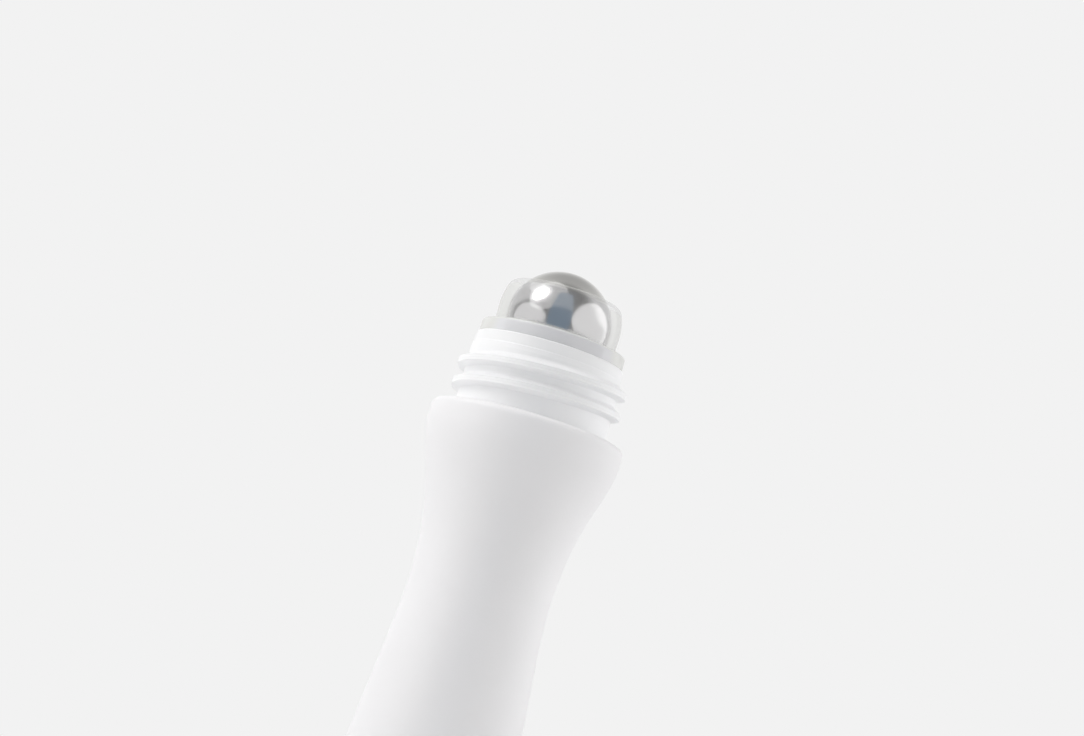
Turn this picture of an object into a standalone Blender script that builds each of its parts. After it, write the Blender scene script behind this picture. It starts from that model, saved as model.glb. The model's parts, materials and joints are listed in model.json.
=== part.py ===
"""Roller-ball applicator: a white waisted bottle, a ball housing in its neck and a steel ball.

Lengths are in metres. The origin is the middle of the base, and +Z runs up the bottle's axis.
"""

import math

import bmesh
import bpy
from mathutils import Vector
from mathutils.geometry import interpolate_bezier

# Fits
seat_gap = 0.0003  # between a piece and the seat that it rests or seals on
ball_clearance = 0.0002  # between the ball and its cup

# Ball, a standard 5/8 inch bearing ball
ball_radius = 0.0079375

# Ball housing, from the lip down to the plug in the neck
lip_rise = 0.00477  # lip above the ball's centre
lip_chamfer = 0.0003
lip_corner = 0.0014
collar_wall = 0.00119  # round the ball, where the collar is widest
collar_widest_rise = 0.0005  # widest part above the ball's centre
collar_bulge_radius = 0.010  # its side rounds off from there to the lip's corner
collar_taper = 0.00007  # the collar's foot is this much slimmer than its widest
ball_rise = 0.00223  # ball's centre above the flange
flange_thickness = 0.00177
flange_edge = 0.00045
flange_inset = 0.00028  # flange's edge, inside the neck's
cup_wall = 0.001
feed_hole_radius = 0.003
plug_margin = 0.00086  # plug's outside, outside the cup's inside
plug_wall = 0.0011
plug_length = 0.009
plug_lead_in = 0.0004
bead_height = 0.00015
bead_width = 0.0009
bead_drop = 0.0024  # first sealing bead below the flange
bead_pitch = 0.003
bead_count = 2

# Bottle's neck and its screw thread
neck_height = 0.0113
neck_wall = 0.00188
neck_edge = 0.0002
land_height = 0.00165  # straight band under the neck's rim
land_step = 0.00012
flare_height = 0.0008  # cone from the band down to the thread's root
neck_flare = 0.000195
thread_pitch = 0.003175  # 8 turns to the inch
thread_depth = 0.001225
thread_width = 0.0022
thread_bottom = 0.0022  # lower end of the thread's path, above the shoulder
thread_turns = 2
thread_sink = 0.0005  # how deep the thread's path lies in the neck's wall

# Bottle's body, from the shoulder down to the base
body_height = 0.084
body_wall = 0.0012
shoulder_width = 0.003225
shoulder_edge = 0.0011
shoulder_drop = 0.0025  # from the shoulder's top to where its side starts to draw in
inner_shoulder_edge = 0.0015
waist_drop = 0.026  # waist below the shoulder
waist_radius = 0.01062
belly_height = 0.010
belly_radius = 0.0142
heel_radius = 0.0022
heel_inset = 0.0003  # base drawn in from the belly
standing_ring_width = 0.002
push_up_height = 0.0015

# Lengths of the side curve's handles, as shares of the height that each half spans
shoulder_handle_share = 0.213
waist_upper_handle_share = 0.574
waist_lower_handle_share = 0.208
belly_handle_share = 0.333

# Thread's section: (depth share, width share), from its upper foot to its lower foot
thread_section_shares = ((0, 0.45), (0.8, 0.34), (1, 0.24), (1, -0.19), (0.8, -0.28), (0, -0.39))
thread_fade_turns = 0.17
thread_start_turn = 0.25  # both ends are at the back, where +Y is

# Fineness of the faceted solids
turn_steps = 48
side_points = 9
arc_steps = 4
thread_steps_per_turn = 36
ball_segments = 40
ball_rings = 20
merge_distance = 0.000001
sharp_angle = math.radians(32)

# Radii and heights that follow from the sizes above
cup_radius = ball_radius + ball_clearance
collar_radius = cup_radius + collar_wall
plug_radius = cup_radius + plug_margin
bore_radius = plug_radius + bead_height + seat_gap
neck_radius = bore_radius + neck_wall
flange_radius = neck_radius - flange_inset
root_radius = neck_radius + neck_flare
shoulder_radius = root_radius + shoulder_width
neck_top = body_height + neck_height
flange_bottom = neck_top + seat_gap
ball_center = flange_bottom + flange_thickness + ball_rise


def clear_scene():
    for item in list(bpy.data.objects):
        bpy.data.objects.remove(item, do_unlink=True)


def new_collection(name):
    collection = bpy.data.collections.new(name)
    bpy.context.scene.collection.children.link(collection)
    return collection


def plain_material(name, color, roughness, metallic=0.0, transmission=0.0):
    material = bpy.data.materials.new(name)
    material.use_nodes = True
    shader = material.node_tree.nodes["Principled BSDF"]
    shader.inputs["Base Color"].default_value = (*color, 1.0)
    shader.inputs["Roughness"].default_value = roughness
    shader.inputs["Metallic"].default_value = metallic
    shader.inputs["Transmission Weight"].default_value = transmission
    material.diffuse_color = (*color, 1.0)
    return material


def arc(center, width, height, start, end, steps=arc_steps):
    """Points of an elliptical arc in the (radius, height) plane, between two angles in degrees."""
    points = []
    for step in range(steps + 1):
        angle = math.radians(start + (end - start) * step / steps)
        points.append((center[0] + width * math.cos(angle), center[1] + height * math.sin(angle)))
    return points


def curve_down(top, top_handle, bottom_handle, bottom):
    """Points of a smooth curve that leaves its top and reaches its bottom straight down."""
    knots = [Vector((*top, 0)), Vector((top[0], top[1] - top_handle, 0))]
    knots += [Vector((bottom[0], bottom[1] + bottom_handle, 0)), Vector((*bottom, 0))]
    return [(point.x, point.y) for point in interpolate_bezier(*knots, side_points)]


def mesh_object(name, mesh, collection):
    item = bpy.data.objects.new(name, mesh)
    collection.objects.link(item)
    return item


def settled(item):
    """Replace an object by a plain mesh of what its curve or modifiers give, welded and shaded."""
    bpy.context.view_layer.update()
    graph = bpy.context.evaluated_depsgraph_get()
    mesh = bpy.data.meshes.new_from_object(item.evaluated_get(graph))
    work = bmesh.new()
    work.from_mesh(mesh)
    bmesh.ops.remove_doubles(work, verts=work.verts, dist=merge_distance)
    work.to_mesh(mesh)
    work.free()
    mesh.shade_smooth()
    mesh.set_sharp_from_angle(angle=sharp_angle)
    name, matrix, collection = item.name, item.matrix_world.copy(), item.users_collection[0]
    bpy.data.objects.remove(item, do_unlink=True)
    mesh.name = name
    result = mesh_object(name, mesh, collection)
    result.matrix_world = matrix
    return result


def turned(name, outline, closed, collection):
    """Turn an outline of (radius, height) points about Z. It runs down the outer side."""
    points = [(radius, 0, height) for radius, height in outline]
    edges = [(i, i + 1) for i in range(len(points) - 1)]
    if closed:
        edges.append((len(points) - 1, 0))
    mesh = bpy.data.meshes.new(name)
    mesh.from_pydata(points, edges, [])
    item = mesh_object(name, mesh, collection)
    screw = item.modifiers.new("turn", "SCREW")
    screw.steps = turn_steps
    screw.render_steps = turn_steps
    screw.use_merge_vertices = True
    screw.merge_threshold = merge_distance
    return settled(item)


def side_curve(inset):
    """The body's side from the shoulder's full width, in to the waist and out to the belly."""
    top = body_height - shoulder_drop
    waist = body_height - waist_drop
    upper = curve_down(
        (shoulder_radius - inset, top),
        (top - waist) * shoulder_handle_share,
        (top - waist) * waist_upper_handle_share,
        (waist_radius - inset, waist),
    )
    lower = curve_down(
        (waist_radius - inset, waist),
        (waist - belly_height) * waist_lower_handle_share,
        (waist - belly_height) * belly_handle_share,
        (belly_radius - inset, belly_height),
    )
    return upper + lower[1:]


def base_outline(inset):
    """Heel, standing ring and push-up, from the heel's outside in to the axis."""
    heel_center = (belly_radius - heel_inset - heel_radius, heel_radius)
    heel = arc(heel_center, heel_radius - inset, heel_radius - inset, 0, -90)
    ring_inside = heel_center[0] - standing_ring_width
    push_up = arc((0, inset), ring_inside, push_up_height, 0, 90)
    return heel + push_up[:-1] + [(0, push_up[-1][1])]


def shoulder_outline():
    """Flat seat for a cap and its rounded edge, from the thread's root outwards."""
    center = (shoulder_radius - shoulder_edge, body_height - shoulder_edge)
    return [(root_radius, body_height)] + arc(center, shoulder_edge, shoulder_edge, 90, 0)


def neck_outline():
    """Neck's rim, straight band and cone, from the rim's inside down to the shoulder."""
    land_bottom = neck_top - land_height
    flare_top_radius = neck_radius + land_step
    inside = arc((bore_radius + neck_edge, neck_top - neck_edge), neck_edge, neck_edge, 180, 90, 2)
    outside = arc((neck_radius - neck_edge, neck_top - neck_edge), neck_edge, neck_edge, 90, 0, 2)
    return inside + outside + [
        (neck_radius, land_bottom),
        (flare_top_radius, land_bottom - land_step),
        (root_radius, land_bottom - flare_height),
    ]


def inner_outline():
    """Bottle's inside, from the floor's middle up to the neck's bore."""
    ceiling = body_height - body_wall
    radius = shoulder_radius - body_wall
    edge = inner_shoulder_edge
    down = [(bore_radius, ceiling)] + arc((radius - edge, ceiling - edge), edge, edge, 90, 0)
    down += side_curve(body_wall) + base_outline(body_wall)
    return down[::-1]


def thread_section(collection):
    """Thread's section as a flat closed curve, whose foot lies inside the neck's wall."""
    curve = bpy.data.curves.new("thread_section", "CURVE")
    spline = curve.splines.new("POLY")
    outline = [
        (thread_sink + depth * thread_depth if depth else -thread_sink, width * thread_width)
        for depth, width in thread_section_shares
    ]
    spline.points.add(len(outline) - 1)
    for point, (out, up) in zip(spline.points, outline):
        point.co = (out, up, 0, 1)
    spline.use_cyclic_u = True
    section = bpy.data.objects.new("thread_section", curve)
    collection.objects.link(section)
    return section


def thread_ridge(section, collection):
    """Right-hand thread, swept up a helix. It fades into the neck at both ends."""
    curve = bpy.data.curves.new("thread", "CURVE")
    curve.dimensions = "3D"
    curve.twist_mode = "Z_UP"
    curve.bevel_mode = "OBJECT"
    curve.bevel_object = section
    curve.use_fill_caps = True
    spline = curve.splines.new("POLY")
    steps = round(thread_turns * thread_steps_per_turn)
    spline.points.add(steps)
    path_radius = root_radius - thread_sink
    faded = thread_sink / (thread_sink + thread_depth) / 2
    for step, point in enumerate(spline.points):
        turns = thread_turns * step / steps
        angle = 2 * math.pi * (turns + thread_start_turn)
        height = body_height + thread_bottom + turns * thread_pitch
        point.co = (path_radius * math.cos(angle), path_radius * math.sin(angle), height, 1)
        grown = min(turns, thread_turns - turns) / thread_fade_turns
        point.radius = min(1, faded + (1 - faded) * math.sin(math.pi / 2 * min(1, grown)))
    ridge = bpy.data.objects.new("thread", curve)
    collection.objects.link(ridge)
    return settled(ridge)


def make_bottle(parts, cutters):
    """Bottle in one piece: the thread is moulded on its neck."""
    outline = inner_outline() + neck_outline() + shoulder_outline() + side_curve(0) + base_outline(0)
    bottle = turned("bottle", outline, False, parts)
    section = thread_section(cutters)
    ridge = thread_ridge(section, cutters)
    join = bottle.modifiers.new("thread", "BOOLEAN")
    join.operation = "UNION"
    join.solver = "EXACT"
    join.object = ridge
    for guide in (section, ridge):
        guide.hide_render = True
        guide.display_type = "WIRE"
    return settled(bottle)


def bead_outline():
    """Sealing beads round the plug, from the flange down. Heights are below the flange."""
    points = []
    for bead in range(bead_count):
        middle = -bead_drop - bead * bead_pitch
        points.append((plug_radius, middle + bead_width / 2))
        points.append((plug_radius + bead_height, middle))
        points.append((plug_radius, middle - bead_width / 2))
    return points


def sphere_height(radius, across):
    """Height above a sphere's centre at which it is this far across from its axis."""
    return math.sqrt(radius**2 - across**2)


def housing_outline():
    """Section of the ball housing, as a closed loop. Its flange's underside is at height 0."""
    center = flange_thickness + ball_rise
    lip_top = center + lip_rise
    cup_outside = cup_radius + cup_wall
    plug_inside = plug_radius - plug_wall

    mouth = sphere_height(cup_radius, lip_rise - lip_chamfer)
    bulge_center = (collar_radius - collar_bulge_radius, center + collar_widest_rise)
    corner_height = lip_top - lip_corner
    arc_join = math.asin((corner_height - bulge_center[1]) / (collar_bulge_radius - lip_corner))
    corner_center = (
        bulge_center[0] + (collar_bulge_radius - lip_corner) * math.cos(arc_join),
        corner_height,
    )
    turn_angle = math.degrees(arc_join)
    outer = arc(corner_center, lip_corner, lip_corner, 90, turn_angle)[:-1]
    outer += arc(bulge_center, collar_bulge_radius, collar_bulge_radius, turn_angle, 0)
    outer.append((collar_radius - collar_taper, flange_thickness))
    edge_center = (flange_radius - flange_edge, flange_thickness - flange_edge)
    outer += arc(edge_center, flange_edge, flange_edge, 90, 0, 3)
    outer += [(flange_radius, 0), (plug_radius, 0)] + bead_outline()
    outer.append((plug_radius, plug_lead_in - plug_length))
    outer.append((plug_radius - plug_lead_in, -plug_length))

    pocket_angle = -math.degrees(math.acos(plug_inside / cup_outside))
    hole_angle = -math.degrees(math.acos(feed_hole_radius / cup_outside))
    under = [(plug_inside, -plug_length)]
    under += arc((0, center), cup_outside, cup_outside, pocket_angle, hole_angle)

    seat_angle = -math.degrees(math.acos(feed_hole_radius / cup_radius))
    mouth_angle = math.degrees(math.acos(mouth / cup_radius))
    cup = arc((0, center), cup_radius, cup_radius, seat_angle, mouth_angle, 2 * side_points)
    cup.append((mouth + lip_chamfer, lip_top))
    return outer + under + cup


def make_housing(parts):
    """Ball housing, pressed into the neck, with its flange on the neck's rim."""
    housing = turned("ball_housing", housing_outline(), True, parts)
    housing.location.z = flange_bottom
    return housing


def make_ball(parts):
    """Steel ball. Its origin is its centre, which its rolling axis runs through."""
    work = bmesh.new()
    bmesh.ops.create_uvsphere(
        work, u_segments=ball_segments, v_segments=ball_rings, radius=ball_radius
    )
    mesh = bpy.data.meshes.new("roller_ball")
    work.to_mesh(mesh)
    work.free()
    mesh.shade_smooth()
    ball = mesh_object("roller_ball", mesh, parts)
    ball.location.z = ball_center
    return ball


def main():
    clear_scene()
    parts = new_collection("roller_applicator")
    cutters = new_collection("cutters")
    bottle = make_bottle(parts, cutters)
    housing = make_housing(parts)
    ball = make_ball(parts)
    housing.parent = bottle
    ball.parent = bottle

    white = (0.86, 0.86, 0.865)
    clear = (0.80, 0.82, 0.81)
    steel = (0.62, 0.62, 0.61)
    bottle.data.materials.append(plain_material("white_plastic", white, 0.45))
    housing.data.materials.append(plain_material("natural_plastic", clear, 0.25, transmission=0.7))
    ball.data.materials.append(plain_material("polished_steel", steel, 0.12, metallic=1.0))


main()
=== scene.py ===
import json
import math

import bpy
from mathutils import Matrix, Vector
from mathutils.geometry import interpolate_bezier


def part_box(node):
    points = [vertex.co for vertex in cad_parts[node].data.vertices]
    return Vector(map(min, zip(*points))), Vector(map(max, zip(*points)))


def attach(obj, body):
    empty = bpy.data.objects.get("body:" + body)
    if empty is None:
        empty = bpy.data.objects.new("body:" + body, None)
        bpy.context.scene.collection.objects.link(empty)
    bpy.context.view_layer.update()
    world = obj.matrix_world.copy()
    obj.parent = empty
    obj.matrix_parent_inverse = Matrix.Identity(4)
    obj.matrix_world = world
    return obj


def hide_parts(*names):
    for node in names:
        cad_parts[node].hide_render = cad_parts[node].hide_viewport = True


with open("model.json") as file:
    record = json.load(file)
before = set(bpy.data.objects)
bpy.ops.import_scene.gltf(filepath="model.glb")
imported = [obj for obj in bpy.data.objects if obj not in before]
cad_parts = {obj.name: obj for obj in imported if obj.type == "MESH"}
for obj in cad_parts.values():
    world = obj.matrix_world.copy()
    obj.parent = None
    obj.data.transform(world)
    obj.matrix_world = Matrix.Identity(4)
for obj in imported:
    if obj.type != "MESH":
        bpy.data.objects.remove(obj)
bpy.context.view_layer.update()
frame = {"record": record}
mm = 0.001  # lengths are in metres, so a size in millimetres is multiplied by this
samePlace = 0.001 * mm  # points nearer to each other than this are one

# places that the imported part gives
ballLow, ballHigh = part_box("roller_ball")
ballCentre = (ballLow + ballHigh) / 2
ballRadius = (ballHigh.z - ballLow.z) / 2
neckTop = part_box("bottle")[1].z
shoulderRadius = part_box("bottle")[1].x
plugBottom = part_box("ball_housing")[0].z
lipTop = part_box("ball_housing")[1].z
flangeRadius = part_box("ball_housing")[1].x
mounts = {mount["name"]: Vector(mount["pos_m"]) for mount in frame["record"]["mounts"]}
shoulderTop = mounts["cap_seat"].z
print("frame loaded: the ball's centre is", round(ballCentre.z / mm, 2), "mm up")


# outlines are lists of points, each with its distance from the axis and its height

def arcPoints(centre, width, height, start, end, count):
    # angles in degrees, from straight outwards and turning upwards
    points = []
    for step in range(count + 1):
        angle = math.radians(start + (end - start) * step / count)
        points.append((centre[0] + width * math.cos(angle), centre[1] + height * math.sin(angle)))
    return points


def straightPoints(start, end, spacing):
    # a straight run, cut up evenly
    count = max(1, round(math.dist(start, end) / spacing))
    return [
        (start[0] + (end[0] - start[0]) * i / count, start[1] + (end[1] - start[1]) * i / count)
        for i in range(count + 1)
    ]


def sidePoints(top, topHandle, bottomHandle, bottom, count):
    # a smooth curve that leaves its top and meets its bottom straight down
    knots = [
        Vector((top[0], top[1], 0)),
        Vector((top[0], top[1] - topHandle, 0)),
        Vector((bottom[0], bottom[1] + bottomHandle, 0)),
        Vector((bottom[0], bottom[1], 0)),
    ]
    return [(point.x, point.y) for point in interpolate_bezier(*knots, count)]


def joined(*runs):
    # runs one after another, where an end that meets the next start is kept once
    points = []
    for run in runs:
        for point in run:
            if not points or math.dist(points[-1], point) > samePlace:
                points.append(point)
    return points


def sphereWidth(radius, rise):
    return math.sqrt(radius**2 - rise**2)


def easedRamp(share, ease):
    # straight from 0 to 1, with both ends rounded over the ease
    if share <= -ease:
        return 0
    if share < ease:
        return (share + ease) ** 2 / (4 * ease)
    if share <= 1 - ease:
        return share
    if share < 1 + ease:
        return 1 - (1 + ease - share) ** 2 / (4 * ease)
    return 1


def turnOnLathe(name, outline, steps, closed=False):
    # one vertex is extruded along the outline, and the line is spun about the Z axis
    bpy.ops.object.select_all(action="DESELECT")
    bpy.ops.mesh.primitive_plane_add(size=mm, location=(outline[0][0], 0, outline[0][1]))
    piece = bpy.context.object
    piece.name = name
    piece.data.name = name
    bpy.ops.object.transform_apply(location=True, rotation=True, scale=True)
    bpy.ops.object.mode_set(mode="EDIT")
    bpy.ops.mesh.select_mode(type="VERT")
    bpy.ops.mesh.select_all(action="SELECT")
    bpy.ops.mesh.merge(type="CENTER")
    for here, there in zip(outline, outline[1:]):
        step = (there[0] - here[0], 0, there[1] - here[1])
        bpy.ops.mesh.extrude_vertices_move(TRANSFORM_OT_translate={"value": step})
    if closed:
        bpy.ops.object.mode_set(mode="OBJECT")
        last = len(piece.data.vertices) - 1
        for vertex in piece.data.vertices:
            vertex.select = vertex.index in (0, last)
        bpy.ops.object.mode_set(mode="EDIT")
        bpy.ops.mesh.edge_face_add()
    bpy.ops.mesh.select_all(action="SELECT")
    bpy.ops.mesh.spin(
        steps=steps, angle=math.tau, center=(0, 0, 0), axis=(0, 0, 1), use_auto_merge=True
    )
    bpy.ops.mesh.select_all(action="SELECT")
    bpy.ops.mesh.remove_doubles(threshold=samePlace)
    bpy.ops.mesh.normals_make_consistent(inside=False)
    bpy.ops.object.mode_set(mode="OBJECT")
    return piece


def finishShading(piece, sharpAngle):
    # edges that turn more than this, in degrees, stay sharp
    bpy.ops.object.select_all(action="DESELECT")
    piece.select_set(True)
    bpy.context.view_layer.objects.active = piece
    bpy.ops.object.shade_smooth_by_angle(angle=math.radians(sharpAngle))
    print(piece.name, "modelled:", len(piece.data.polygons), "faces")


# materials

def linear(hexColour):
    channels = [int(hexColour[i:i + 2], 16) / 255 for i in (1, 3, 5)]
    return tuple(c / 12.92 if c <= 0.04045 else ((c + 0.055) / 1.055) ** 2.4 for c in channels) + (1,)


def addNode(tree, kind, values=None, links=None, **settings):
    node = tree.nodes.new(kind)
    for name, value in settings.items():
        setattr(node, name, value)
    for name, value in (values or {}).items():
        node.inputs[name].default_value = value
    for name, source in (links or {}).items():
        tree.links.new(source, node.inputs[name])
    return node


def newMaterial(name):
    material = bpy.data.materials.new(name)
    material.use_nodes = True
    material.node_tree.nodes.clear()
    return material, material.node_tree


# the bottle, with its neck and its thread

bottle = {
    "steps": 210,
    "sharpAngle": 80,
    "wall": 1.2 * mm,
    "shoulderEdge": 1.1 * mm,
    "innerShoulderEdge": 1.5 * mm,
    "shoulderDrop": 2.5 * mm,  # from the shoulder's top to where its side starts to draw in
    "waistDrop": 26 * mm,
    "waistRadius": 10.62 * mm,
    "bellyHeight": 10 * mm,
    "bellyRadius": 14.2 * mm,
    "upperHandles": (0.213, 0.574),  # of the height from the shoulder to the waist
    "lowerHandles": (0.208, 0.333),  # of the height from the waist to the belly
    "bellyHandle": 1 / 3,  # of the height from the belly to the heel
    "heelRadius": 2.2 * mm,
    "heelInset": 0.3 * mm,
    "standingRing": 2 * mm,
    "pushUp": 1.5 * mm,
    "pinchLength": 14 * mm,  # line that the mould leaves across the base
    "pinchWidth": 0.45 * mm,
    "pinchHeight": 0.16 * mm,
    "pinchEnd": 1 * mm,  # length over which it ends
    "pinchEase": 0.4,
    "pinchTop": 1.51 * mm,  # nothing above this belongs to the underside
    "boreRadius": 9.4475 * mm,
    "neckRadius": 11.3275 * mm,
    "neckDraft": 0.05 * mm,  # the rim is this much slimmer than the band under it
    "rootRadius": 11.5225 * mm,
    "rimEdge": 0.22 * mm,
    "bandHeight": 1.68 * mm,
    "bandStep": 0.12 * mm,
    "flareHeight": 0.8 * mm,
    "footRadius": 0.35 * mm,
    "neckRows": 0.039 * mm,  # height of a row of faces, low enough for the thread
    "shoulderRows": 0.7 * mm,
    "sideCounts": (26, 34),  # rows down to the waist, and from there to the belly
    "baseCounts": (6, 8, 20),  # rows of the lowest side, the heel and the push-up
    "innerSideCounts": (10, 14),
    "innerBaseCounts": (4, 5, 8),
}
thread = {
    "pitch": 3.175 * mm,
    "depth": 1.225 * mm,
    "turns": 2,
    "startTurn": 0.25,  # both ends are at the back
    "rise": 2.2 * mm,  # lower end of its path above the shoulder
    "lowerFoot": -0.84 * mm,  # edges of the ridge, from its path
    "lowerCrest": -0.55 * mm,
    "upperCrest": 0.48 * mm,
    "upperFoot": 1.12 * mm,
    "ease": 0.5,  # rounding of the ridge's corners
    "fadeTurns": 0.17,  # length over which the ends fade out
}


def bodySide(p, inset, counts):
    top = shoulderTop - p["shoulderDrop"]
    waist = shoulderTop - p["waistDrop"]
    upper = sidePoints(
        (shoulderRadius - inset, top),
        (top - waist) * p["upperHandles"][0],
        (top - waist) * p["upperHandles"][1],
        (p["waistRadius"] - inset, waist),
        counts[0],
    )
    lower = sidePoints(
        (p["waistRadius"] - inset, waist),
        (waist - p["bellyHeight"]) * p["lowerHandles"][0],
        (waist - p["bellyHeight"]) * p["lowerHandles"][1],
        (p["bellyRadius"] - inset, p["bellyHeight"]),
        counts[1],
    )
    return joined(upper, lower)


def base(p, inset, counts):
    # heel, standing ring and push-up, in to the axis
    across = p["bellyRadius"] - p["heelInset"] - p["heelRadius"]
    heelCurve = p["heelRadius"] - inset
    handle = (p["bellyHeight"] - p["heelRadius"]) * p["bellyHandle"]
    side = sidePoints(
        (p["bellyRadius"] - inset, p["bellyHeight"]), handle, handle,
        (across + heelCurve, p["heelRadius"]), counts[0],
    )
    heel = arcPoints((across, p["heelRadius"]), heelCurve, heelCurve, 0, -90, counts[1])
    ringInside = across - p["standingRing"]
    hollow = arcPoints((0, inset), ringInside, p["pushUp"], 0, 90, counts[2])
    hollow[-1] = (0, hollow[-1][1])
    return joined(side, heel, hollow)


def bottleOutline(p):
    # up the inside from the floor's middle, over the neck's rim and down the outside to the base
    edge = p["innerShoulderEdge"]
    ceiling = shoulderTop - p["wall"]
    inside = shoulderRadius - p["wall"] - edge
    hollow = joined(
        [(p["boreRadius"], ceiling)],
        arcPoints((inside, ceiling - edge), edge, edge, 90, 0, 5),
        bodySide(p, p["wall"], p["innerSideCounts"]),
        base(p, p["wall"], p["innerBaseCounts"]),
    )[::-1]
    rim = p["rimEdge"]
    rimRadius = p["neckRadius"] - p["neckDraft"]
    bandBottom = neckTop - p["bandHeight"]
    rootTop = bandBottom - p["flareHeight"]
    footTop = shoulderTop + p["footRadius"]
    neck = joined(
        arcPoints((p["boreRadius"] + rim, neckTop - rim), rim, rim, 180, 90, 4),
        arcPoints((rimRadius - rim, neckTop - rim), rim, rim, 90, 0, 5),
        straightPoints((rimRadius, neckTop - rim), (p["neckRadius"], bandBottom), p["neckRows"]),
        [(p["neckRadius"] + p["bandStep"], bandBottom - p["bandStep"])],
        straightPoints(
            (p["neckRadius"] + p["bandStep"], bandBottom - p["bandStep"]),
            (p["rootRadius"], rootTop), p["neckRows"],
        ),
        straightPoints((p["rootRadius"], rootTop), (p["rootRadius"], footTop), p["neckRows"]),
        arcPoints(
            (p["rootRadius"] + p["footRadius"], footTop), p["footRadius"], p["footRadius"], 180, 270, 5
        ),
    )
    edge = p["shoulderEdge"]
    body = joined(
        arcPoints((shoulderRadius - edge, shoulderTop - edge), edge, edge, 90, 0, 12),
        straightPoints(
            (shoulderRadius, shoulderTop - edge),
            (shoulderRadius, shoulderTop - p["shoulderDrop"]), p["shoulderRows"],
        ),
        bodySide(p, 0, p["sideCounts"]),
        base(p, 0, p["baseCounts"]),
    )
    return joined(hollow, neck, body)


def threadLift(p, angle, height):
    # how far the thread stands out at this angle and height above the shoulder
    lift = 0
    start = (angle / math.tau - p["startTurn"]) % 1
    for whole in range(p["turns"] + 1):
        turns = start + whole
        if turns > p["turns"]:
            continue
        above = height - p["rise"] - turns * p["pitch"]
        if above < p["upperCrest"]:
            share = (above - p["lowerFoot"]) / (p["lowerCrest"] - p["lowerFoot"])
        else:
            share = (p["upperFoot"] - above) / (p["upperFoot"] - p["upperCrest"])
        grown = min(1, min(turns, p["turns"] - turns) / p["fadeTurns"])
        lift = max(lift, p["depth"] * easedRamp(share, p["ease"]) * math.sin(math.pi / 2 * grown))
    return lift


def raiseThread(piece, p):
    # a helix can't be spun with the neck, so the neck's own vertices are moved outwards
    for vertex in piece.data.vertices:
        across = math.hypot(vertex.co.x, vertex.co.y)
        height = vertex.co.z - shoulderTop
        if across < bottle["neckRadius"] - p["depth"] / 2 or height < bottle["footRadius"] / 2:
            continue
        lift = threadLift(p, math.atan2(vertex.co.y, vertex.co.x), height)
        vertex.co.x *= 1 + lift / across
        vertex.co.y *= 1 + lift / across


def pressPinchLine(piece, p):
    # only the underside of the push-up, where the two mould halves met
    reach = p["bellyRadius"] - p["standingRing"] - p["heelRadius"]
    for vertex in piece.data.vertices:
        if vertex.co.z > p["pinchTop"] or math.hypot(vertex.co.x, vertex.co.y) > reach:
            continue
        side = math.exp(-(vertex.co.y / p["pinchWidth"]) ** 2)
        past = abs(vertex.co.x) - p["pinchLength"] / 2 + p["pinchEnd"]
        end = 1 - easedRamp(past / p["pinchEnd"], p["pinchEase"])
        vertex.co.z -= p["pinchHeight"] * side * end


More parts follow.
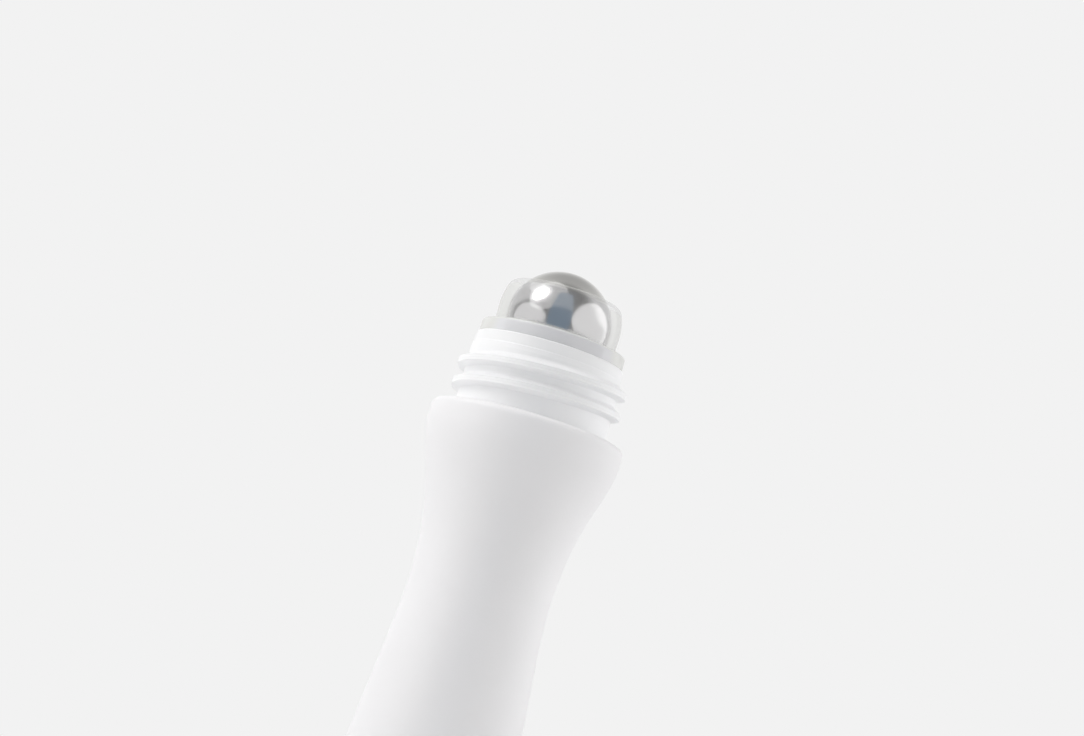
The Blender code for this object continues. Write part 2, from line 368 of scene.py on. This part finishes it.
def whiteBlownPolyethylene():
    # blow-moulded HDPE: soft white, fine satin grain from the sand-blasted mould, smoother neck
    look = {
        "body": "#F3F2F3",
        "bodyShade": "#EEEDEE",
        "cloud": 14 * mm,  # size of the shade's soft clouds
        "neck": "#F6F6F7",
        "neckFrom": (-0.05 * mm, 0.1 * mm),  # above the shoulder's top
        "grain": 0.35 * mm,
        "grainDepth": 0.009 * mm,
        "neckGrain": 0.12,  # share of that depth
        "bodyRoughness": 0.43,
        "neckRoughness": 0.37,
        "lineSpacing": 0.42 * mm,  # lines along the thread's face, finer on the real one
        "lineDepth": 0.026 * mm,
        "lineChange": 4 * mm,  # over this length they grow fainter and stronger
        "lineFrom": (0.6, 0.95),  # share of the thread's depth
        "softness": 0.25,  # share of the light that goes into the plastic, and how deep
        "softnessDepth": 0.8 * mm,
    }
    material, tree = newMaterial("white_blown_polyethylene")
    place = addNode(tree, "ShaderNodeTexCoord").outputs["Object"]
    parts = addNode(tree, "ShaderNodeSeparateXYZ", links={0: place})
    onNeck = addNode(
        tree, "ShaderNodeMapRange",
        {1: shoulderTop + look["neckFrom"][0], 2: shoulderTop + look["neckFrom"][1]},
        {0: parts.outputs[2]},
        interpolation_type="SMOOTHSTEP",
    ).outputs[0]
    cloud = addNode(
        tree, "ShaderNodeTexNoise", {"Scale": 1 / look["cloud"], "Detail": 2.0}, {"Vector": place}
    ).outputs[0]
    bodyColour = addNode(
        tree, "ShaderNodeMix", {6: linear(look["body"]), 7: linear(look["bodyShade"])}, {0: cloud},
        data_type="RGBA",
    ).outputs[2]
    colour = addNode(
        tree, "ShaderNodeMix", {7: linear(look["neck"])}, {0: onNeck, 6: bodyColour}, data_type="RGBA"
    ).outputs[2]
    roughness = addNode(
        tree, "ShaderNodeMapRange", {3: look["bodyRoughness"], 4: look["neckRoughness"]}, {0: onNeck}
    ).outputs[0]
    grain = addNode(
        tree, "ShaderNodeTexNoise", {"Scale": 1 / look["grain"], "Detail": 3.0}, {"Vector": place}
    ).outputs[0]
    offNeck = addNode(
        tree, "ShaderNodeMapRange", {3: 1.0, 4: look["neckGrain"]}, {0: onNeck}
    ).outputs[0]
    grainHeight = addNode(
        tree, "ShaderNodeMath", links={0: grain, 1: offNeck}, operation="MULTIPLY"
    ).outputs[0]
    grainBump = addNode(
        tree, "ShaderNodeBump", {"Strength": 1.0, "Distance": look["grainDepth"]},
        {"Height": grainHeight},
    ).outputs[0]
    # the lines follow the helix: height less the pitch times the turn
    turn = addNode(
        tree, "ShaderNodeMath", links={0: parts.outputs[1], 1: parts.outputs[0]}, operation="ARCTAN2"
    ).outputs[0]
    climb = addNode(
        tree, "ShaderNodeMath", {1: thread["pitch"] / math.tau}, {0: turn}, operation="MULTIPLY"
    ).outputs[0]
    along = addNode(
        tree, "ShaderNodeMath", links={0: parts.outputs[2], 1: climb}, operation="SUBTRACT"
    ).outputs[0]
    linesInPitch = round(thread["pitch"] / look["lineSpacing"])
    wave = addNode(
        tree, "ShaderNodeMath", {1: math.tau * linesInPitch / thread["pitch"]}, {0: along},
        operation="MULTIPLY",
    ).outputs[0]
    lines = addNode(tree, "ShaderNodeMath", links={0: wave}, operation="SINE").outputs[0]
    uneven = addNode(
        tree, "ShaderNodeTexNoise", {"Scale": 1 / look["lineChange"], "Detail": 1.0}, {"Vector": place}
    ).outputs[0]
    unevenLines = addNode(
        tree, "ShaderNodeMath", links={0: lines, 1: uneven}, operation="MULTIPLY"
    ).outputs[0]
    across = addNode(
        tree, "ShaderNodeVectorMath", {1: (1, 1, 0)}, {0: place}, operation="MULTIPLY"
    ).outputs[0]
    radius = addNode(tree, "ShaderNodeVectorMath", links={0: across}, operation="LENGTH").outputs["Value"]
    onCrest = addNode(
        tree, "ShaderNodeMapRange",
        {
            1: bottle["rootRadius"] + look["lineFrom"][0] * thread["depth"],
            2: bottle["rootRadius"] + look["lineFrom"][1] * thread["depth"],
        },
        {0: radius}, interpolation_type="SMOOTHSTEP",
    ).outputs[0]
    crestLines = addNode(
        tree, "ShaderNodeMath", links={0: unevenLines, 1: onCrest}, operation="MULTIPLY"
    ).outputs[0]
    threadLines = addNode(
        tree, "ShaderNodeMath", links={0: crestLines, 1: onNeck}, operation="MULTIPLY"
    ).outputs[0]
    bump = addNode(
        tree, "ShaderNodeBump", {"Strength": 1.0, "Distance": look["lineDepth"]},
        {"Height": threadLines, "Normal": grainBump},
    ).outputs[0]
    shader = addNode(
        tree, "ShaderNodeBsdfPrincipled",
        {
            "IOR": 1.53, "Subsurface Weight": look["softness"],
            "Subsurface Scale": look["softnessDepth"], "Subsurface Radius": (1, 1, 1),
        },
        {"Base Color": colour, "Roughness": roughness, "Normal": bump},
    )
    addNode(tree, "ShaderNodeOutputMaterial", links={0: shader.outputs[0]})
    return material


def makeBottle(p):
    piece = turnOnLathe("white_bottle", bottleOutline(p), p["steps"])
    raiseThread(piece, thread)
    pressPinchLine(piece, p)
    finishShading(piece, p["sharpAngle"])
    piece.data.materials.append(whiteBlownPolyethylene())
    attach(piece, "applicator")
    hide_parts("bottle")


# the housing that holds the ball

housing = {
    "steps": 180,
    "sharpAngle": 40,
    "clearance": 0.07 * mm,  # between the ball and its cup
    "seat": 0.01 * mm,  # flange above the neck's rim
    "collarRadius": 9.3275 * mm,
    "widestRise": 0.5 * mm,  # widest part above the ball's centre
    "bulgeRadius": 10 * mm,
    "lipCorner": 1.4 * mm,
    "lipInnerEdge": 0.3 * mm,
    "collarTaper": 0.07 * mm,  # the collar's foot is this much slimmer than its widest part
    "collarRows": 0.5 * mm,
    "footFillet": 0.15 * mm,
    "ballRise": 2.23 * mm,  # ball's centre above the flange's top
    "flangeEdge": 0.45 * mm,
    "flangeLowerEdge": 0.04 * mm,
    "cupWall": 1 * mm,
    "feedHole": 3 * mm,
    "plugRadius": 8.9975 * mm,
    "plugWall": 1.1 * mm,
    "plugLeadIn": 0.4 * mm,
    "beadDrops": (2.4 * mm, 5.4 * mm),  # sealing beads below the flange
    "beadWidth": 1.1 * mm,
    "beadGap": 0.02 * mm,  # left between a bead and the bore
}


def housingOutline(p):
    # down the outside from the lip's top, then up the inside
    centre = ballCentre.z
    cupRadius = ballRadius + p["clearance"]
    flangeTop = centre - p["ballRise"]
    flangeBottom = neckTop + p["seat"]
    bulge = (p["collarRadius"] - p["bulgeRadius"], centre + p["widestRise"])
    cornerHeight = lipTop - p["lipCorner"]
    reach = p["bulgeRadius"] - p["lipCorner"]
    join = math.asin((cornerHeight - bulge[1]) / reach)
    corner = (bulge[0] + reach * math.cos(join), cornerHeight)
    footRadius = p["collarRadius"] - p["collarTaper"]
    fillet = p["footFillet"]
    outside = joined(
        arcPoints(corner, p["lipCorner"], p["lipCorner"], 90, math.degrees(join), 12),
        arcPoints(bulge, p["bulgeRadius"], p["bulgeRadius"], math.degrees(join), 0, 12),
        straightPoints(
            (p["collarRadius"], bulge[1]), (footRadius, flangeTop + fillet), p["collarRows"]
        ),
        arcPoints((footRadius + fillet, flangeTop + fillet), fillet, fillet, 180, 270, 4),
        arcPoints(
            (flangeRadius - p["flangeEdge"], flangeTop - p["flangeEdge"]),
            p["flangeEdge"], p["flangeEdge"], 90, 0, 8,
        ),
        arcPoints(
            (flangeRadius - p["flangeLowerEdge"], flangeBottom + p["flangeLowerEdge"]),
            p["flangeLowerEdge"], p["flangeLowerEdge"], 0, -90, 3,
        ),
        [(p["plugRadius"] + fillet, flangeBottom)],
    )
    beadHeight = bottle["boreRadius"] - p["beadGap"] - p["plugRadius"]
    plug = [(p["plugRadius"], flangeBottom - fillet)]
    for drop in p["beadDrops"]:
        plug += arcPoints(
            (p["plugRadius"], flangeBottom - drop), beadHeight, p["beadWidth"] / 2, 90, -90, 8
        )
    plug += [
        (p["plugRadius"], plugBottom + p["plugLeadIn"]),
        (p["plugRadius"] - p["plugLeadIn"], plugBottom),
    ]
    plugInside = p["plugRadius"] - p["plugWall"]
    cupOutside = cupRadius + p["cupWall"]
    under = joined(
        [(plugInside, plugBottom)],
        arcPoints(
            (0, centre), cupOutside, cupOutside,
            -math.degrees(math.acos(plugInside / cupOutside)),
            -math.degrees(math.acos(p["feedHole"] / cupOutside)), 12,
        ),
    )
    edge = p["lipInnerEdge"]
    mouthRise = lipTop - edge - centre
    mouth = sphereWidth(cupRadius, mouthRise)
    cup = joined(
        arcPoints(
            (0, centre), cupRadius, cupRadius,
            -math.degrees(math.acos(p["feedHole"] / cupRadius)),
            math.degrees(math.asin(mouthRise / cupRadius)), 48,
        ),
        arcPoints((mouth + edge, lipTop - edge), edge, edge, 180, 90, 5),
    )
    return joined(outside, plug, under, cup)


def clearMouldedPolypropylene():
    # injection-moulded natural PP: a thin clear wall, milky at its rims and where it is thick
    look = {
        "wallColour": "#DCDCD7",
        "flangeColour": "#E3E3E6",
        "flangeEnds": "#E3E3E0",  # warmer where the flange turns away
        "tint": "#FBFBFC",
        "flangeMilk": 0.93,  # share that the cloudy plastic hides
        "flangeFade": (-0.1 * mm, 0.7 * mm),  # above the flange's top
        "wallMilk": 0.04,
        "rimMilk": 0.58,
        "rimFade": (0.34, 0.5),  # how far the wall turns away, where 1 is edge on
        "lipMilk": 0.45,
        "lipFade": (-0.4 * mm, -0.1 * mm),  # from the lip's top
        "cornerShare": 0.5,  # of the rims' milk, left in the rounded corner
        "cornerFade": (-1.5 * mm, -0.9 * mm),  # from the lip's top
        "skinFade": (0.2 * mm, 0.3 * mm),  # what is this much wider than the ball is outer skin
        "shine": 0.3,  # most that the skin mirrors at its rims
        "roughness": (0.1, 0.18),
        "ripple": 3 * mm,
        "rippleDepth": 0.004 * mm,
    }
    material, tree = newMaterial("natural_moulded_polypropylene")
    place = addNode(tree, "ShaderNodeTexCoord").outputs["Object"]
    parts = addNode(tree, "ShaderNodeSeparateXYZ", links={0: place})
    flangeTop = ballCentre.z - housing["ballRise"]
    thick = addNode(
        tree, "ShaderNodeMapRange",
        {
            1: flangeTop + look["flangeFade"][0], 2: flangeTop + look["flangeFade"][1],
            3: look["flangeMilk"], 4: 0.0,
        },
        {0: parts.outputs[2]}, interpolation_type="SMOOTHSTEP",
    ).outputs[0]
    grazing = addNode(tree, "ShaderNodeLayerWeight", {"Blend": 0.5}).outputs["Facing"]
    across = addNode(
        tree, "ShaderNodeVectorMath", {1: (1, 1, 0)}, {0: place}, operation="MULTIPLY"
    ).outputs[0]
    radius = addNode(tree, "ShaderNodeVectorMath", links={0: across}, operation="LENGTH").outputs["Value"]
    skin = addNode(
        tree, "ShaderNodeMapRange",
        {1: ballRadius + look["skinFade"][0], 2: ballRadius + look["skinFade"][1]}, {0: radius},
    ).outputs[0]
    turnedAway = addNode(
        tree, "ShaderNodeMapRange", {1: look["rimFade"][0], 2: look["rimFade"][1]}, {0: grazing},
        interpolation_type="SMOOTHSTEP",
    ).outputs[0]
    belowCorner = addNode(
        tree, "ShaderNodeMapRange",
        {
            1: lipTop + look["cornerFade"][0], 2: lipTop + look["cornerFade"][1],
            3: 1.0, 4: look["cornerShare"],
        },
        {0: parts.outputs[2]}, interpolation_type="SMOOTHSTEP",
    ).outputs[0]
    rimSkin = addNode(
        tree, "ShaderNodeMath", links={0: skin, 1: belowCorner}, operation="MULTIPLY"
    ).outputs[0]
    rimShare = addNode(
        tree, "ShaderNodeMath", links={0: turnedAway, 1: rimSkin}, operation="MULTIPLY"
    ).outputs[0]
    rim = addNode(
        tree, "ShaderNodeMapRange", {3: look["wallMilk"], 4: look["rimMilk"]}, {0: rimShare}
    ).outputs[0]
    lip = addNode(
        tree, "ShaderNodeMapRange",
        {1: lipTop + look["lipFade"][0], 2: lipTop + look["lipFade"][1], 4: look["lipMilk"]},
        {0: parts.outputs[2]}, interpolation_type="SMOOTHSTEP",
    ).outputs[0]
    edges = addNode(tree, "ShaderNodeMath", links={0: lip, 1: rim}, operation="MAXIMUM").outputs[0]
    # where a ray leaves the plastic there is neither milk nor shine, so that the wall stays clear
    inside = addNode(tree, "ShaderNodeNewGeometry").outputs["Backfacing"]
    front = addNode(tree, "ShaderNodeMath", {0: 1.0}, {1: inside}, operation="SUBTRACT").outputs[0]
    cloud = addNode(tree, "ShaderNodeMath", links={0: thick, 1: edges}, operation="MAXIMUM").outputs[0]
    milk = addNode(tree, "ShaderNodeMath", links={0: cloud, 1: front}, operation="MULTIPLY").outputs[0]
    flange = addNode(
        tree, "ShaderNodeMix", {6: linear(look["flangeColour"]), 7: linear(look["flangeEnds"])},
        {0: turnedAway}, data_type="RGBA",
    ).outputs[2]
    colour = addNode(
        tree, "ShaderNodeMix", {6: linear(look["wallColour"])}, {0: thick, 7: flange}, data_type="RGBA"
    ).outputs[2]
    ripple = addNode(
        tree, "ShaderNodeTexNoise", {"Scale": 1 / look["ripple"], "Detail": 2.0}, {"Vector": place}
    ).outputs[0]
    roughness = addNode(
        tree, "ShaderNodeMapRange",
        {1: 0.3, 2: 0.7, 3: look["roughness"][0], 4: look["roughness"][1]}, {0: ripple},
    ).outputs[0]
    bump = addNode(
        tree, "ShaderNodeBump", {"Strength": 1.0, "Distance": look["rippleDepth"]}, {"Height": ripple}
    ).outputs[0]
    clear = addNode(tree, "ShaderNodeBsdfTransparent", {"Color": linear(look["tint"])})
    cloudy = addNode(
        tree, "ShaderNodeBsdfPrincipled",
        {"Roughness": 0.5, "Specular IOR Level": 0.0}, {"Base Color": colour},
    )
    wall = addNode(
        tree, "ShaderNodeMixShader", links={0: milk, 1: clear.outputs[0], 2: cloudy.outputs[0]}
    )
    gloss = addNode(tree, "ShaderNodeBsdfGlossy", links={"Roughness": roughness, "Normal": bump})
    mirrored = addNode(tree, "ShaderNodeFresnel", {"IOR": 1.49}, {"Normal": bump}).outputs[0]
    capped = addNode(
        tree, "ShaderNodeMath", {1: look["shine"]}, {0: mirrored}, operation="MINIMUM"
    ).outputs[0]
    # only the collar's and the flange's outer skin mirrors
    outside = addNode(tree, "ShaderNodeMath", links={0: skin, 1: front}, operation="MULTIPLY").outputs[0]
    shine = addNode(tree, "ShaderNodeMath", links={0: capped, 1: outside}, operation="MULTIPLY").outputs[0]
    surface = addNode(
        tree, "ShaderNodeMixShader", links={0: shine, 1: wall.outputs[0], 2: gloss.outputs[0]}
    )
    addNode(tree, "ShaderNodeOutputMaterial", links={0: surface.outputs[0]})
    return material


def makeHousing(p):
    piece = turnOnLathe("clear_housing", housingOutline(p), p["steps"], closed=True)
    finishShading(piece, p["sharpAngle"])
    piece.data.materials.append(clearMouldedPolypropylene())
    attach(piece, "applicator")
    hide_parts("ball_housing")


# the steel ball

steelBall = {
    "cuts": 47,  # of each side of the cube that is drawn out to a ball
    "sharpAngle": 180,
}


def polishedBearingSteel():
    # ground and polished stainless steel: a clear mirror, with a faint haze of fine wear
    look = {
        "colour": "#D2D1CE",
        "roughness": (0.12, 0.19),
        "wear": 2.5 * mm,
        "scratch": 0.5 * mm,
        "scratchTurn": (0.4, 0.3, 0),
        "scratchStretch": (1, 0.15, 1),
        "scratchDepth": 0.0012 * mm,
    }
    material, tree = newMaterial("polished_bearing_steel")
    place = addNode(tree, "ShaderNodeTexCoord").outputs["Object"]
    centred = addNode(
        tree, "ShaderNodeMapping", {"Location": -ballCentre}, {"Vector": place}
    ).outputs[0]
    wear = addNode(
        tree, "ShaderNodeTexNoise", {"Scale": 1 / look["wear"], "Detail": 4.0}, {"Vector": centred}
    ).outputs[0]
    roughness = addNode(
        tree, "ShaderNodeMapRange",
        {1: 0.3, 2: 0.7, 3: look["roughness"][0], 4: look["roughness"][1]}, {0: wear},
    ).outputs[0]
    stretched = addNode(
        tree, "ShaderNodeMapping",
        {"Rotation": look["scratchTurn"], "Scale": look["scratchStretch"]}, {"Vector": centred},
    ).outputs[0]
    scratch = addNode(
        tree, "ShaderNodeTexNoise", {"Scale": 1 / look["scratch"], "Detail": 2.0}, {"Vector": stretched}
    ).outputs[0]
    bump = addNode(
        tree, "ShaderNodeBump", {"Strength": 1.0, "Distance": look["scratchDepth"]}, {"Height": scratch}
    ).outputs[0]
    shader = addNode(
        tree, "ShaderNodeBsdfPrincipled", {"Base Color": linear(look["colour"]), "Metallic": 1.0},
        {"Roughness": roughness, "Normal": bump},
    )
    addNode(tree, "ShaderNodeOutputMaterial", links={0: shader.outputs[0]})
    return material


def makeBall(p):
    bpy.ops.object.select_all(action="DESELECT")
    bpy.ops.mesh.primitive_cube_add(size=2 * ballRadius)
    piece = bpy.context.object
    piece.name = "steel_ball"
    piece.data.name = "steel_ball"
    bpy.ops.object.mode_set(mode="EDIT")
    bpy.ops.mesh.select_all(action="SELECT")
    bpy.ops.mesh.subdivide(number_cuts=p["cuts"])
    bpy.ops.transform.tosphere(value=1.0)
    bpy.ops.object.mode_set(mode="OBJECT")
    grown = ballRadius / piece.data.vertices[0].co.length
    piece.scale = (grown, grown, grown)
    piece.location = ballCentre
    bpy.ops.object.transform_apply(location=True, rotation=True, scale=True)
    finishShading(piece, p["sharpAngle"])
    piece.data.materials.append(polishedBearingSteel())
    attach(piece, "ball")
    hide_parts("roller_ball")


makeBottle(bottle)
makeHousing(housing)
makeBall(steelBall)


# camera, from below the ball and leaning, as in the photograph

camera = {
    "distance": 560 * mm,
    "fromBelow": 9.0,  # degrees, as is the lean
    "lean": 16.45,
    "pixelsPerMm": 6.709,
    "ballPixel": (558.2, 324.8),  # where the ball's centre is in the picture
    "imageSize": (1084, 736),
    "sensor": 36.0,
}


def addCamera(p):
    focal = p["pixelsPerMm"] * p["distance"] / mm
    width, height = p["imageSize"]
    up = math.radians(p["fromBelow"])
    towards = Vector((0, math.cos(up), math.sin(up)))
    lens = bpy.data.cameras.new("camera")
    lens.sensor_width = p["sensor"]
    lens.lens = focal * p["sensor"] / width
    result = bpy.data.objects.new("camera", lens)
    bpy.context.scene.collection.objects.link(result)
    level = towards.to_track_quat("-Z", "Y").to_matrix()
    leaning = level @ Matrix.Rotation(math.radians(p["lean"]), 3, "Z")
    seen = Vector((p["ballPixel"][0] - width / 2, height / 2 - p["ballPixel"][1], -focal))
    turned = leaning @ seen.rotation_difference(Vector((0, 0, -1))).to_matrix()
    place = ballCentre - towards * p["distance"]
    result.matrix_world = Matrix.Translation(place) @ turned.to_4x4()
    bpy.context.scene.camera = result


# studio: pale floor, white surroundings, soft lights

studio = {
    "white": "#F2F2F2",
    "overhead": 0.58,  # share of the white that is left overhead
    "overheadTowards": (0, 0.45, 0.9),
    "overheadFade": (0.75, 1.02),  # how well a direction agrees with that one
    "front": 0.33,  # share that is left on the camera's side
    "frontFade": (0.3, 0.75),  # how far a direction points away from the camera
    "frontReach": 0.5,  # added to that for dull surfaces, and for mirrors that look up
    "lookingUp": (0.15, 0.45),
    "fill": 0.7,  # share that dull surfaces get
    "floorRadius": 600 * mm,
    "floorSides": 128,
    "floor": "#E4E4E4",
    "floorRoughness": 0.8,
    "floorGloss": 0.2,
}
# a direction is a sum of right, away and up, as seen from the camera's side; a strength is a
# radiance; the lights that aren't mirrored light only the dull surfaces
lights = {
    "key": {
        "towards": (-0.706, -0.212, 0.676), "distance": 650 * mm, "width": 320 * mm, "height": 320 * mm,
        "strength": 4.1, "mirrored": True,
    },
    "key_halo": {
        "towards": (-0.7, -0.23, 0.67), "distance": 660 * mm, "width": 470 * mm, "height": 470 * mm,
        "strength": 0.5, "mirrored": True,
    },
    "key_glow": {
        "towards": (-0.52, -0.36, 0.7), "distance": 700 * mm, "width": 960 * mm, "height": 960 * mm,
        "strength": 0.52, "mirrored": True,
    },
    "left": {
        "towards": (-0.958, -0.29, -0.03), "distance": 800 * mm, "width": 1460 * mm, "height": 680 * mm,
        "strength": 0.8, "mirrored": True,
    },
    "left_fill": {
        "towards": (-0.89, -0.41, -0.03), "distance": 820 * mm, "width": 1200 * mm, "height": 650 * mm,
        "strength": 0.43, "mirrored": False,
    },
    "right": {
        "towards": (0.96, -0.21, 0.25), "distance": 800 * mm, "width": 2060 * mm, "height": 1160 * mm,
        "strength": 0.86, "mirrored": True,
    },
    "right_fill": {
        "towards": (0.98, 0.1, 0.15), "distance": 820 * mm, "width": 900 * mm, "height": 900 * mm,
        "strength": 0.45, "mirrored": False,
    },
    "top": {
        "towards": (-0.1, 0.25, 0.96), "distance": 800 * mm, "width": 800 * mm, "height": 800 * mm,
        "strength": 1.02, "mirrored": False,
    },
}
card = {
    "across": -6 * mm,
    "distance": 190 * mm,
    "width": 174 * mm,
    "height": 520 * mm,
    "floorGap": 1 * mm,
    "lowerColour": "#8C9DAE",
    "upperColour": "#B8C2CC",
    "change": (0.36, 0.42),  # share of its height where the one turns into the other
}


def addSoftLight(name, p):
    direction = Vector(p["towards"]).normalized()
    data = bpy.data.lights.new(name, "AREA")
    data.shape = "ELLIPSE"
    data.size = p["width"]
    data.size_y = p["height"]
    data.energy = p["strength"] * math.pi * math.pi * p["width"] * p["height"] / 4
    result = bpy.data.objects.new(name, data)
    bpy.context.scene.collection.objects.link(result)
    turned = (-direction).to_track_quat("-Z", "Y").to_matrix().to_4x4()
    result.matrix_world = Matrix.Translation(ballCentre + direction * p["distance"]) @ turned
    result.visible_camera = False
    result.visible_glossy = p["mirrored"]


def addCard(name, p):
    # stands in front of the camera, and only mirrors and clear pieces see it
    bpy.ops.object.select_all(action="DESELECT")
    bpy.ops.mesh.primitive_plane_add(size=1)
    result = bpy.context.object
    result.name = name
    result.scale = (p["width"], p["height"], 1)
    result.rotation_euler = (math.radians(90), 0, 0)
    result.location = (p["across"], -p["distance"], p["height"] / 2 + p["floorGap"])
    material, tree = newMaterial(name)
    place = addNode(tree, "ShaderNodeTexCoord").outputs["Generated"]
    parts = addNode(tree, "ShaderNodeSeparateXYZ", links={0: place})
    change = addNode(
        tree, "ShaderNodeMapRange", {1: p["change"][0], 2: p["change"][1]}, {0: parts.outputs[1]},
        interpolation_type="SMOOTHSTEP",
    ).outputs[0]
    colour = addNode(
        tree, "ShaderNodeMix", {6: linear(p["lowerColour"]), 7: linear(p["upperColour"])}, {0: change},
        data_type="RGBA",
    ).outputs[2]
    glow = addNode(tree, "ShaderNodeEmission", {"Strength": 1.0}, {"Color": colour})
    addNode(tree, "ShaderNodeOutputMaterial", links={0: glow.outputs[0]})
    result.data.materials.append(material)
    result.visible_camera = False
    result.visible_diffuse = False
    result.visible_shadow = False


def addFloor(p):
    bpy.ops.object.select_all(action="DESELECT")
    bpy.ops.mesh.primitive_circle_add(
        vertices=p["floorSides"], radius=p["floorRadius"], fill_type="NGON"
    )
    floor = bpy.context.object
    floor.name = "floor"
    material, tree = newMaterial("pale_floor")
    shader = addNode(
        tree, "ShaderNodeBsdfPrincipled",
        {
            "Base Color": linear(p["floor"]), "Roughness": p["floorRoughness"],
            "Specular IOR Level": p["floorGloss"],
        },
    )
    addNode(tree, "ShaderNodeOutputMaterial", links={0: shader.outputs[0]})
    floor.data.materials.append(material)


def setWorld(p):
    # the camera sees plain white; other rays see it dimmer overhead and on the camera's side
    world = bpy.data.worlds.new("studio")
    bpy.context.scene.world = world
    world.use_nodes = True
    tree = world.node_tree
    tree.nodes.clear()
    direction = addNode(tree, "ShaderNodeTexCoord").outputs["Generated"]
    parts = addNode(tree, "ShaderNodeSeparateXYZ", links={0: direction})
    upwards = addNode(
        tree, "ShaderNodeVectorMath", {1: Vector(p["overheadTowards"]).normalized()}, {0: direction},
        operation="DOT_PRODUCT",
    ).outputs["Value"]
    overhead = addNode(
        tree, "ShaderNodeMapRange",
        {1: p["overheadFade"][0], 2: p["overheadFade"][1], 3: 1.0, 4: p["overhead"]}, {0: upwards},
        interpolation_type="SMOOTHSTEP",
    ).outputs[0]
    ray = addNode(tree, "ShaderNodeLightPath")
    # low down, mirrors see the dimmer part reach further round the sides
    high = addNode(
        tree, "ShaderNodeMapRange", {1: p["lookingUp"][0], 2: p["lookingUp"][1]},
        {0: parts.outputs[2]}, interpolation_type="SMOOTHSTEP",
    ).outputs[0]
    short = addNode(
        tree, "ShaderNodeMapRange", {3: 1.0}, {0: ray.outputs["Is Glossy Ray"], 4: high}
    ).outputs[0]
    away = addNode(
        tree, "ShaderNodeMath", {1: p["frontReach"]}, {0: short, 2: parts.outputs[1]},
        operation="MULTIPLY_ADD",
    ).outputs[0]
    front = addNode(
        tree, "ShaderNodeMapRange",
        {1: p["frontFade"][0], 2: p["frontFade"][1], 3: p["front"], 4: 1.0}, {0: away},
        interpolation_type="SMOOTHSTEP",
    ).outputs[0]
    share = addNode(
        tree, "ShaderNodeMath", links={0: overhead, 1: front}, operation="MULTIPLY"
    ).outputs[0]
    white = linear(p["white"])
    fill = addNode(
        tree, "ShaderNodeMapRange", {3: p["fill"], 4: 1.0}, {0: ray.outputs["Is Glossy Ray"]}
    ).outputs[0]
    strength = addNode(
        tree, "ShaderNodeMath", links={0: share, 1: fill}, operation="MULTIPLY"
    ).outputs[0]
    around = addNode(tree, "ShaderNodeBackground", {"Color": white}, {"Strength": strength})
    seen = addNode(tree, "ShaderNodeBackground", {"Color": white, "Strength": 1.0})
    mixed = addNode(
        tree, "ShaderNodeMixShader",
        links={0: ray.outputs["Is Camera Ray"], 1: around.outputs[0], 2: seen.outputs[0]},
    )
    addNode(tree, "ShaderNodeOutputWorld", links={0: mixed.outputs[0]})


addCamera(camera)
for lightName, lightValues in lights.items():
    addSoftLight(lightName + "_light", lightValues)
addCard("dark_card", card)
addFloor(studio)
setWorld(studio)
bpy.context.scene.view_settings.view_transform = "Standard"
print("studio set")
